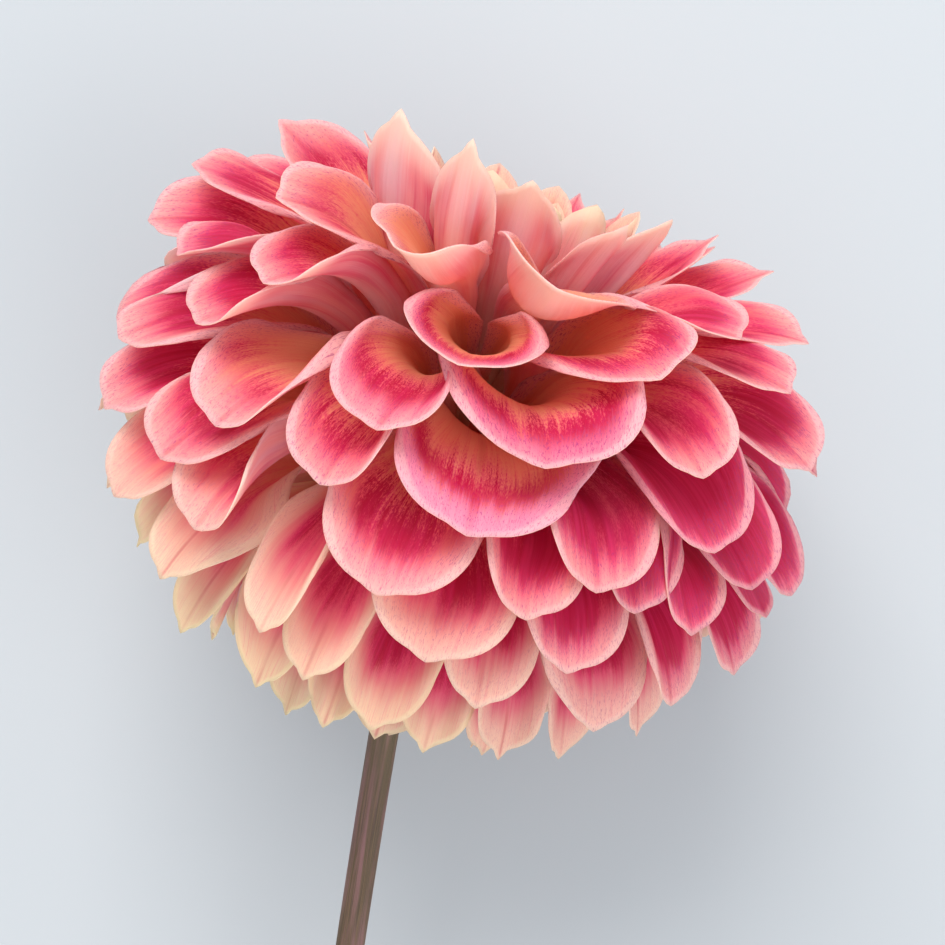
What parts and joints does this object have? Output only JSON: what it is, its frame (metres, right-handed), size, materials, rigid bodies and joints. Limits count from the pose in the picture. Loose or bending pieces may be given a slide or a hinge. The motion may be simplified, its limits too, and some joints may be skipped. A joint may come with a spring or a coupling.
{
  "type": "dahlia flower",
  "caption": "Fully opened ball dahlia, cut with its stem and lying on its side, with cupped petals packed all round a globe-shaped bloom.",
  "frame": {"origin": "middle of the flower's bounding box in plan, on the surface that it lies on", "axes": "+Z up, +Y along the stem from its cut end towards the bloom, +X to the right seen from above with +Y up"},
  "size_m": [0.1368, 0.29, 0.135],
  "materials": {
    "stem": "olive brown skin with a mauve flush, fine ribs lengthwise",
    "receptacle": "green, fleshy, matt",
    "heart": "unopened petals, pale coral with cream yellow tips",
    "bract": "leaf green, matt",
    "petal": "coral to magenta with a pale speckled rim, fine lengthwise veins, velvety"
  },
  "bodies": {
    "root": {"bract_1": "bract", "bract_2": "bract", "bract_3": "bract", "bract_4": "bract", "bract_5": "bract", "heart": "heart", "petal_01": "petal", "petal_02": "petal", "petal_03": "petal", "petal_04": "petal", "petal_05": "petal", "petal_06": "petal", "petal_07": "petal", "petal_08": "petal", "petal_09": "petal", "petal_10": "petal", "petal_11": "petal", "petal_12": "petal", "petal_13": "petal", "petal_14": "petal", "petal_15": "petal", "petal_16": "petal", "petal_17": "petal", "petal_18": "petal", "petal_19": "petal", "petal_20": "petal", "petal_21": "petal", "petal_22": "petal", "petal_23": "petal", "petal_24": "petal", "petal_25": "petal", "petal_26": "petal", "petal_27": "petal", "petal_28": "petal", "petal_29": "petal", "petal_30": "petal", "petal_31": "petal", "petal_32": "petal", "petal_33": "petal", "petal_34": "petal", "petal_35": "petal", "petal_36": "petal", "petal_37": "petal", "petal_38": "petal", "petal_39": "petal", "petal_40": "petal", "petal_41": "petal", "petal_42": "petal", "receptacle": "receptacle", "stem": "stem"}
  },
  "joints": []
}
